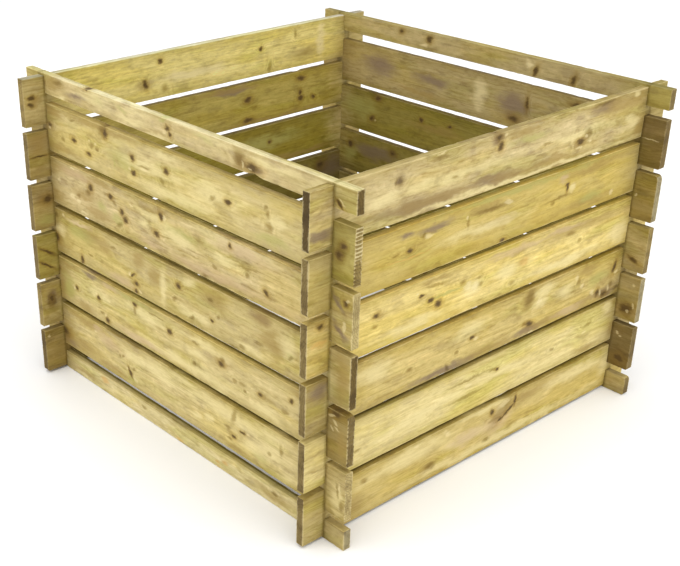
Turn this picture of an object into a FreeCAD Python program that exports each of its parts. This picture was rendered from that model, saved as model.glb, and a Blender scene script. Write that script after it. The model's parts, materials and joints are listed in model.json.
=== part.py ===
import FreeCAD, Part
import math
import os

import Sketcher
from FreeCAD import Placement, Rotation, Vector

# Square compost bin of notched timber boards that plug together log-cabin fashion.
# Millimetres, +Z up. The origin is on the ground under the middle of the bin, the front wall
# faces -Y and the right wall faces +X.

# Driving dimensions. Every board is cut to one length and thickness.
DIMENSIONS = {
    "board_length": 1000.0,
    "board_height": 105.0,
    # The narrow boards that close the front and back walls at the ground and at the rim.
    "half_board_height": 44.0,
    "board_thickness": 17.0,
    "arris_radius": 1.5,
    # Open air gap between a full board and the next one up in the same wall.
    "board_gap": 12.0,
    # How far each board's end runs past the outer face of the wall that it crosses.
    "board_overhang": 53.0,
    # Play on each side of a crossing board in its slot.
    "slot_clearance": 0.5,
    # The side walls' lowest boards hang this far above the ground.
    "ground_clearance": 5.0,
    # The top boards stand this far above the side walls.
    "rim_rise": 5.0,
    # Full boards in each side wall. The front and back walls have one fewer.
    "side_courses": 6,
}

# Sizes that follow from the driving ones, written as expressions of the sheet's cells.
PITCH = "(Sizes.board_height + Sizes.board_gap)"
# The neck left between two slots is half a pitch tall, so crossing boards stack neck on neck.
SLOT_DEPTH = "((Sizes.board_height - Sizes.board_gap) / 4)"
SLOT_WIDTH = "(Sizes.board_thickness + 2 * Sizes.slot_clearance)"
WALL_OFFSET = "(Sizes.board_length / 2 - Sizes.board_overhang - Sizes.board_thickness / 2)"
LOWEST_SIDE_MIDDLE = "(Sizes.ground_clearance + Sizes.board_height / 2)"
SIDE_WALL_TOP = (
    f"(Sizes.ground_clearance + (Sizes.side_courses - 1) * {PITCH} + Sizes.board_height)"
)
RIM_LEVEL = f"({SIDE_WALL_TOP} + Sizes.rim_rise)"

ORIGIN_POINT = (-1, 1)
START, END = range(1, 3)
UPPER, LOWER = 1, -1

# A half board's neck reaches the slot floor of the side board that it carries or holds down.
FULL_BOARD = {
    "height": "Sizes.board_height",
    "slot_depth": SLOT_DEPTH,
    "slotted_edges": (UPPER, LOWER),
}
BASE_BOARD = {
    "height": "Sizes.half_board_height",
    "slot_depth": f"(Sizes.half_board_height - Sizes.ground_clearance - {SLOT_DEPTH})",
    "slotted_edges": (UPPER,),
}
TOP_BOARD = {
    "height": "Sizes.half_board_height",
    "slot_depth": f"(Sizes.half_board_height - Sizes.rim_rise - {SLOT_DEPTH})",
    "slotted_edges": (LOWER,),
}
# Lower right, upper right, upper left and lower left of a section about the origin.
CORNERS = ((1, -1), (1, 1), (-1, 1), (-1, -1))
# The slots must take away their worked-out volume to within this share of it.
VOLUME_TOLERANCE = 0.001

doc = FreeCAD.newDocument("compost_bin")
sheet = doc.addObject("Spreadsheet::Sheet", "Sizes")
for row, (alias, value) in enumerate(DIMENSIONS.items(), start=1):
    sheet.set(f"A{row}", alias.replace("_", " "))
    sheet.set(f"B{row}", str(value))
    sheet.setAlias(f"B{row}", alias)
doc.recompute()


def size(expression):
    """The present value of an expression of the sheet's cells."""
    return float(sheet.evalExpression(expression))


def bind(sketch, constraint, name, expression):
    """Adds a size constraint to the sketch and ties it to the sheet."""
    sketch.renameConstraint(sketch.addConstraint(constraint), name)
    sketch.setExpression(f"Constraints.{name}", expression)


def origin_plane(body, role):
    return next(plane for plane in body.Origin.OriginFeatures if plane.Role == role)


def new_sketch(body, name, role):
    sketch = body.newObject("Sketcher::SketchObject", f"{body.Name}_{name}")
    sketch.AttachmentSupport = [(origin_plane(body, role), "")]
    sketch.MapMode = "FlatFace"
    return sketch


def draw_section(sketch, height):
    """The stock's cross-section: a rectangle about the origin with its corners rounded."""
    radius = size("Sizes.arris_radius")
    wide, tall = size("Sizes.board_thickness") / 2, size(height) / 2
    flat_wide, flat_tall = wide - radius, tall - radius
    sides = [
        (Vector(-flat_wide, -tall), Vector(flat_wide, -tall)),
        (Vector(wide, -flat_tall), Vector(wide, flat_tall)),
        (Vector(flat_wide, tall), Vector(-flat_wide, tall)),
        (Vector(-wide, flat_tall), Vector(-wide, -flat_tall)),
    ]
    lines = [sketch.addGeometry(Part.LineSegment(*ends), False) for ends in sides]
    arcs = []
    for (x_sign, y_sign), side, following in zip(CORNERS, sides, sides[1:] + sides[:1]):
        centre = Vector(x_sign * flat_wide, y_sign * flat_tall)
        middle = centre + Vector(x_sign, y_sign).normalize() * radius
        arcs.append(sketch.addGeometry(Part.Arc(side[1], middle, following[0]), False))
    for line, arc, following in zip(lines, arcs, lines[1:] + lines[:1]):
        sketch.addConstraint(Sketcher.Constraint("Tangent", line, END, arc, START))
        sketch.addConstraint(Sketcher.Constraint("Tangent", arc, END, following, START))
    for line, direction in zip(lines, ("Horizontal", "Vertical") * 2):
        sketch.addConstraint(Sketcher.Constraint(direction, line))
    for arc in arcs[1:]:
        sketch.addConstraint(Sketcher.Constraint("Equal", arcs[0], arc))
    bottom, right, top, left = lines
    middle_of_section = Sketcher.Constraint("Symmetric", bottom, START, top, START, *ORIGIN_POINT)
    sketch.addConstraint(middle_of_section)
    rounding = Sketcher.Constraint("Radius", arcs[0], radius)
    across = Sketcher.Constraint("DistanceX", left, START, right, START, 2 * wide)
    upright = Sketcher.Constraint("DistanceY", bottom, START, top, START, 2 * tall)
    bind(sketch, rounding, "arris", "Sizes.arris_radius")
    bind(sketch, across, "thickness", "Sizes.board_thickness")
    bind(sketch, upright, "height", height)


def draw_slot(sketch, edge, height, depth):
    """The rectangle that the crossing +X wall takes out of the board's upper or lower edge.

    It is centred on that edge, so the half outside the board removes nothing.
    """
    label = "upper" if edge == UPPER else "lower"
    near_side = f"({WALL_OFFSET} - {SLOT_WIDTH} / 2)"
    slot_floor = f"({height} / 2 - {depth})"
    width, reach = size(SLOT_WIDTH), 2 * size(depth) * edge
    corner = Vector(size(near_side), size(slot_floor) * edge)
    along, out = Vector(width, 0), Vector(0, reach)
    points = [corner, corner + along, corner + along + out, corner + out]
    sides = [
        sketch.addGeometry(Part.LineSegment(first, second), False)
        for first, second in zip(points, points[1:] + points[:1])
    ]
    for side, following in zip(sides, sides[1:] + sides[:1]):
        sketch.addConstraint(Sketcher.Constraint("Coincident", side, END, following, START))
    for side, direction in zip(sides, ("Horizontal", "Vertical") * 2):
        sketch.addConstraint(Sketcher.Constraint(direction, side))
    floor_line, wall_line = sides[:2]
    # A vertical distance runs from its lower point to its upper one.
    from_middle = (ORIGIN_POINT, (floor_line, START))[::edge]
    from_floor = ((wall_line, START), (wall_line, END))[::edge]
    place = Sketcher.Constraint("DistanceX", *ORIGIN_POINT, floor_line, START, corner.x)
    level = Sketcher.Constraint("DistanceY", *from_middle[0], *from_middle[1], abs(corner.y))
    across = Sketcher.Constraint("DistanceX", floor_line, START, floor_line, END, width)
    tall = Sketcher.Constraint("DistanceY", *from_floor[0], *from_floor[1], abs(reach))
    bind(sketch, place, f"{label}_place", near_side)
    bind(sketch, level, f"{label}_floor", slot_floor)
    bind(sketch, across, f"{label}_width", SLOT_WIDTH)
    bind(sketch, tall, f"{label}_reach", f"2 * {depth}")


def make_board(name, kind):
    """A board along X about its own origin, with a slot near each end in each slotted edge."""
    body = doc.addObject("PartDesign::Body", name)
    body.Label = name

    section = new_sketch(body, "section", "YZ_Plane")
    draw_section(section, kind["height"])
    stock = body.newObject("PartDesign::Pad", f"{name}_stock")
    stock.Profile = section
    stock.SideType = "Symmetric"
    stock.setExpression("Length", "Sizes.board_length")

    slots = new_sketch(body, "slots", "XZ_Plane")
    for edge in kind["slotted_edges"]:
        draw_slot(slots, edge, kind["height"], kind["slot_depth"])
    near_slots = body.newObject("PartDesign::Pocket", f"{name}_near_slots")
    near_slots.Profile = slots
    near_slots.Type = "ThroughAll"
    near_slots.SideType = "Symmetric"

    both_ends = body.newObject("PartDesign::Mirrored", f"{name}_both_ends")
    both_ends.Originals = [near_slots]
    both_ends.MirrorPlane = (origin_plane(body, "YZ_Plane"), [""])
    body.Tip = both_ends
    return body


def place_board(body, rotation, offsets):
    """Turns the board and ties its middle to expressions of the sheet, one for each axis."""
    body.Placement = Placement(Vector(*map(size, offsets.values())), rotation)
    for axis, offset in offsets.items():
        body.setExpression(f".Placement.Base.{axis}", offset)


ALONG_X = Rotation()
ALONG_Y = Rotation(Vector(0, 0, 1), 90)
FRONT_AND_BACK = {"front": f"-{WALL_OFFSET}", "back": WALL_OFFSET}
LEFT_AND_RIGHT = {"left": f"-{WALL_OFFSET}", "right": WALL_OFFSET}

side_courses = round(size("Sizes.side_courses"))
boards = []


def add_side_board(wall, name, level):
    """A full board along Y in the left or right wall."""
    board = make_board(f"{wall}_{name}", FULL_BOARD)
    place_board(board, ALONG_Y, {"x": LEFT_AND_RIGHT[wall], "y": "0", "z": level})
    boards.append((board, FULL_BOARD))


def add_front_or_back_board(wall, name, kind, level):
    """A board along X in the front or back wall."""
    board = make_board(f"{wall}_{name}", kind)
    place_board(board, ALONG_X, {"x": "0", "y": FRONT_AND_BACK[wall], "z": level})
    boards.append((board, kind))


for wall in LEFT_AND_RIGHT:
    for course in range(side_courses):
        level = f"{LOWEST_SIDE_MIDDLE} + {course} * {PITCH}"
        add_side_board(wall, f"board_{course + 1}", level)

for wall in FRONT_AND_BACK:
    base_middle = f"{BASE_BOARD['height']} / 2"
    add_front_or_back_board(wall, "base_board", BASE_BOARD, base_middle)
    # Full boards lie half a pitch above the side boards that carry them.
    for course in range(side_courses - 1):
        level = f"{LOWEST_SIDE_MIDDLE} + ({course} + 0.5) * {PITCH}"
        add_front_or_back_board(wall, f"board_{course + 1}", FULL_BOARD, level)
    top_middle = f"{RIM_LEVEL} - {TOP_BOARD['height']} / 2"
    add_front_or_back_board(wall, "top_board", TOP_BOARD, top_middle)

doc.recompute()

failed = [
    item.Name for item in doc.Objects if "Invalid" in item.State or "Error" in item.State
]
if failed:
    raise RuntimeError(f"these objects failed to recompute: {', '.join(failed)}")
for board, _ in boards:
    if board.Shape.isNull() or not board.Shape.isValid() or len(board.Shape.Solids) != 1:
        raise RuntimeError(f"{board.Label} is not one valid solid")

# Each slotted edge has two slots cut in it, where the arrises' two corners have gone already.
lost_corners = (2 - math.pi / 2) * size("Sizes.arris_radius") ** 2
for board, kind in boards:
    cut_section = size(kind["slot_depth"]) * size("Sizes.board_thickness") - lost_corners
    cut_volume = 2 * len(kind["slotted_edges"]) * cut_section * size(SLOT_WIDTH)
    stock_volume = doc.getObject(f"{board.Name}_stock").Shape.Volume
    share_cut = (stock_volume - board.Shape.Volume) / cut_volume
    if abs(share_cut - 1) > VOLUME_TOLERANCE:
        raise RuntimeError(f"the slots of {board.Label} took {share_cut:.4f} of their volume")

os.makedirs("parts", exist_ok=True)
for board, _ in boards:
    board.Shape.exportStep(os.path.join("parts", f"{board.Label}.step"))

box = Part.makeCompound([board.Shape for board, _ in boards]).BoundBox
print(f"{len(boards)} boards, {box.XLength:.1f} x {box.YLength:.1f} x {box.ZLength:.1f} mm")
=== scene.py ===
import functools
import json
import math
import random

import bmesh
import bpy
from mathutils import Matrix, Vector, noise


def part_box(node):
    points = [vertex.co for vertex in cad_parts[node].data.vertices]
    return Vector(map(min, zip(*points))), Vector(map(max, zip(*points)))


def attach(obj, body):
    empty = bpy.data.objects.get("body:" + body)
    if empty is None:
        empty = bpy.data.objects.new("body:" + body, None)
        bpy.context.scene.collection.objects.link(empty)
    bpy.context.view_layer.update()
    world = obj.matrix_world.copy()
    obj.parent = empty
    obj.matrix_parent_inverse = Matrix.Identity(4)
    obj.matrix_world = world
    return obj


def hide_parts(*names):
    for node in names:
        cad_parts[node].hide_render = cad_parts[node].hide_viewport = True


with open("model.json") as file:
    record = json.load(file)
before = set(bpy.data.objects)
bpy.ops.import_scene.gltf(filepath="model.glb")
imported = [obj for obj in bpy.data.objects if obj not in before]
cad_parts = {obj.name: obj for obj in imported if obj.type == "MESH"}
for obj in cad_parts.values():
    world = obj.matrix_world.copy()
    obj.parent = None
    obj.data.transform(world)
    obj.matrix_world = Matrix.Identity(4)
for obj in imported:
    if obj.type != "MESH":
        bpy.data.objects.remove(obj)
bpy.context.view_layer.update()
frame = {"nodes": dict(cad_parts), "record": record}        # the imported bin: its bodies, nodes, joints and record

# Looks of a square compost bin of notched, pressure-treated pine boards.
# Metres and +Z up, as in the frame. A board's own sizes and marks are in millimetres, in the
# board's own frame: X along it, Z up it, and its outer face towards -Y.

scene = bpy.context.scene
MM = 0.001

# Each wall is the front wall turned about the bin's middle by this many degrees.
WALL_TURNS = {"front": 0, "right": 90, "back": 180, "left": 270}


class Board:
    """One board of the frame: its name, body, half sizes and place, all but the body in mm."""

    def __init__(self, name, body):
        self.name = name
        self.label = name.replace("_board", "")   # what the tables call it
        self.body = body
        self.turn = math.radians(WALL_TURNS[name.split("_")[0]])
        low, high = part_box(name)
        unturned = Matrix.Rotation(-self.turn, 4, "Z")
        corners = [unturned @ low / MM, unturned @ high / MM]
        self.middle = (corners[0] + corners[1]) / 2
        self.half_length, self.half_thick, self.half_height = (
            abs(a - b) / 2 for a, b in zip(*corners)
        )

    def to_own_frame(self):
        """The matrix from the frame's metres to the board's own millimetres."""
        turned = Matrix.Rotation(-self.turn, 4, "Z") @ Matrix.Scale(1 / MM, 4)
        return Matrix.Translation(-self.middle) @ turned


boards = [
    Board(name, body)
    for body, names in frame["record"]["behaviour"]["bodies"].items()
    for name in names
]


# Colours

def paint(red, green, blue):
    """A screen colour, 0 to 255, as the linear colour that a finish takes."""
    channels = (value / 255 for value in (red, green, blue))
    linear = (v / 12.92 if v <= 0.04045 else ((v + 0.055) / 1.055) ** 2.4 for v in channels)
    return (*linear, 1.0)


def tint(red, green, blue):
    """What the tone underneath is multiplied by."""
    return (red, green, blue, 1.0)


# Tones of treated pine
STRAW = paint(206, 188, 130)
CREAM = paint(222, 205, 142)
CHAMOIS = paint(214, 199, 146)
HONEY = paint(204, 183, 114)
GOLD = paint(224, 203, 128)
DUSTY = paint(202, 183, 130)
AMBER_WOOD = paint(200, 178, 102)
OLIVE = paint(186, 168, 112)
MOSS = paint(164, 150, 78)
FERN = paint(178, 161, 80)
PEAT = paint(152, 138, 64)
LODEN = paint(150, 136, 52)
DUN = paint(176, 158, 104)
TAUPE = paint(168, 149, 98)
UMBER = paint(150, 130, 74)
BARK = paint(118, 98, 52)
RUSSET = paint(104, 84, 36)
CHAR = paint(90, 72, 32)
DRIFTWOOD = paint(158, 146, 108)
LEMON = paint(228, 212, 129)
OATMEAL = paint(198, 180, 121)

# The boards' own tones, where they aren't STRAW
TONES = {
    "front_top": DUSTY,
    "front_4": DUSTY,
    "front_3": OATMEAL,
    "front_base": CHAMOIS,
    "right_6": DUSTY,
    "right_5": AMBER_WOOD,
    "right_4": GOLD,
    "right_3": HONEY,
    "right_2": CREAM,
    "right_1": HONEY,
    "left_6": CREAM,
    "left_4": DUSTY,
    "left_2": HONEY,
    "back_top": HONEY,
    "back_5": DUSTY,
    "back_4": HONEY,
    "back_2": CREAM,
}

# Their insides' tones: partly their own stain from what the bin holds, partly painted light and shade, as the
# insides get less light. The rest are PEAT.
INSIDE_TONES_AND_SHADE = {
    "left_6": LEMON,
    "left_5": FERN,
    "left_4": LODEN,
    "back_top": OLIVE,
    "back_5": DUN,
    "front_top": DUN,
    "front_5": DUN,
    "right_6": OLIVE,
    "right_5": FERN,
}

# The two ends of a board, at -X and at +X: partly where the treatment soaked in deeper, partly painted shade of the
# corners where the boards cross
SOAKED_AND_SHADED_ENDS = {
    "front_top": (OLIVE, OLIVE),
    "front_5": (UMBER, MOSS),
    "front_4": (UMBER, OLIVE),
    "front_3": (UMBER, DUN),
    "front_2": (UMBER, UMBER),
    "front_1": (UMBER, OLIVE),
    "front_base": (UMBER, DUN),
    "right_6": (DUSTY, DUN),
    "right_5": (OLIVE, DUN),
    "right_4": (HONEY, HONEY),
    "right_3": (DUN, TAUPE),
    "right_2": (CREAM, TAUPE),
    "right_1": (OLIVE, HONEY),
    "left_6": (OLIVE, OLIVE),
    "left_5": (OLIVE, TAUPE),
    "left_4": (OLIVE, TAUPE),
    "left_3": (UMBER, MOSS),
    "left_2": (OLIVE, DUN),
    "left_1": (OLIVE, UMBER),
    "back_top": (MOSS, OLIVE),
    "back_5": (BARK, UMBER),
    "back_4": (UMBER, OLIVE),
    "back_3": (DUN, OLIVE),
    "back_2": (TAUPE, OLIVE),
    "back_1": (BARK, OLIVE),
    "back_base": (DUN, OLIVE),
}

# Sawn ends, where they aren't END_GRAIN
SAWN_ENDS = {
    "front_top": RUSSET,
    "front_5": UMBER,
    "front_4": OLIVE,
    "front_3": RUSSET,
    "front_1": OLIVE,
    "front_base": DRIFTWOOD,
    "right_6": CHAR,
    "left_6": UMBER,
    "left_2": UMBER,
    "left_1": RUSSET,
    "back_4": DRIFTWOOD,
    "back_3": UMBER,
    "back_2": DRIFTWOOD,
    "back_5": BARK,
}

# Colours of what lies on the wood
KNOT = paint(128, 104, 52)
# pale splinters, and the painted highlight on the torn end's teeth
KNOT_HEART = paint(84, 64, 30)
SPLINTER_AND_HIGHLIGHT = paint(232, 216, 164)
# pale arrises: partly wear, partly painted highlight
WEAR_AND_HIGHLIGHT = paint(226, 208, 154)
END_GRAIN = paint(128, 109, 62)

# Stains: their colours, and how well they cover the wood
STAINS = {
    "purple": (paint(132, 112, 88), 0.85),
    "brown": (paint(158, 132, 70), 0.65),
    "green": (paint(172, 166, 92), 0.65),
    "pale": (paint(230, 214, 156), 0.65),
    "pink": (paint(198, 172, 132), 0.65),
    "orange": (paint(206, 162, 84), 0.65),
}

# Tints of the grain and the soak, and of painted light and shade
END_GRAIN_DARK = tint(0.45, 0.40, 0.32)
RING = tint(0.74, 0.66, 0.48)
STREAK = tint(0.72, 0.66, 0.52)
# paler streaks and patches of the wood; on the insides of LIT_INSIDE boards, painted light
PALER_WOOD_AND_LIGHT = tint(1.22, 1.22, 1.34)
GREEN_CAST = tint(0.86, 0.90, 0.62)
GREY_CAST = tint(0.74, 0.71, 0.72)
# painted highlight on a top edge
RIM_HIGHLIGHT = tint(1.24, 1.40, 1.78)
# a top edge painted darker
DARKER_RIM = tint(0.86, 0.87, 0.86)
AMBER = tint(0.84, 0.76, 0.54)
SOFT_KNOT = tint(0.56, 0.50, 0.34)
GOLDEN = tint(0.98, 0.95, 0.66)
# soak and painted shade near the edges
EDGE_SOAK_AND_SHADE = tint(0.72, 0.69, 0.52)
# painted shade where a board meets the face of the board that crosses it
CROSSING_SHADE = tint(0.50, 0.45, 0.26)
# painted shade under the boards
UNDERSIDE_SHADE = tint(0.55, 0.50, 0.36)
# painted shade on the top faces of lower boards, down in the gaps
GAP_SHADE = tint(0.66, 0.62, 0.50)
# painted shade low down inside the bin
LOW_INSIDE_SHADE = tint(0.46, 0.42, 0.24)
SPECK = tint(0.70, 0.62, 0.50)

# How much lighter or darker the top edges of the highest boards are painted: a painted highlight on front_top and
# left_6, darker on right_6 and back_top
RIMS = {
    "front_top": RIM_HIGHLIGHT,
    "left_6": tint(0.84, 1.00, 2.00),
    "right_6": DARKER_RIM,
    "back_top": tint(0.58, 0.60, 0.54),
}

# How light the top edges of the others are painted between the crossings, where the gaps show them: painted light
# and shade
LEDGE_LIGHT_AND_SHADE = {
    "front_5": tint(1.22, 1.20, 1.04),
    "front_4": tint(1.46, 1.44, 1.34),
    "front_3": tint(0.96, 0.92, 0.74),
    "front_2": tint(1.46, 1.44, 1.34),
    "front_1": tint(1.00, 0.98, 0.84),
    "front_base": tint(0.80, 0.78, 0.66),
    "right_5": tint(1.46, 1.40, 1.18),
    "right_4": tint(1.40, 1.34, 1.14),
    "right_3": tint(1.24, 1.18, 0.98),
    "right_2": tint(0.84, 0.80, 0.64),
    "right_1": tint(0.96, 0.92, 0.74),
}

# How lively the grain is, where it isn't 1
LIVELY = {
    "right_5": 0.65,
    "right_2": 0.75,
    "right_1": 0.75,
    "front_5": 0.85,
    "front_4": 1.15,
    "right_6": 1.15,
}

# Boards whose inside is painted paler than their outside, as painted light
LIT_INSIDE = {"left_6", "left_5", "left_4", "back_5", "back_top"}


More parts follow.
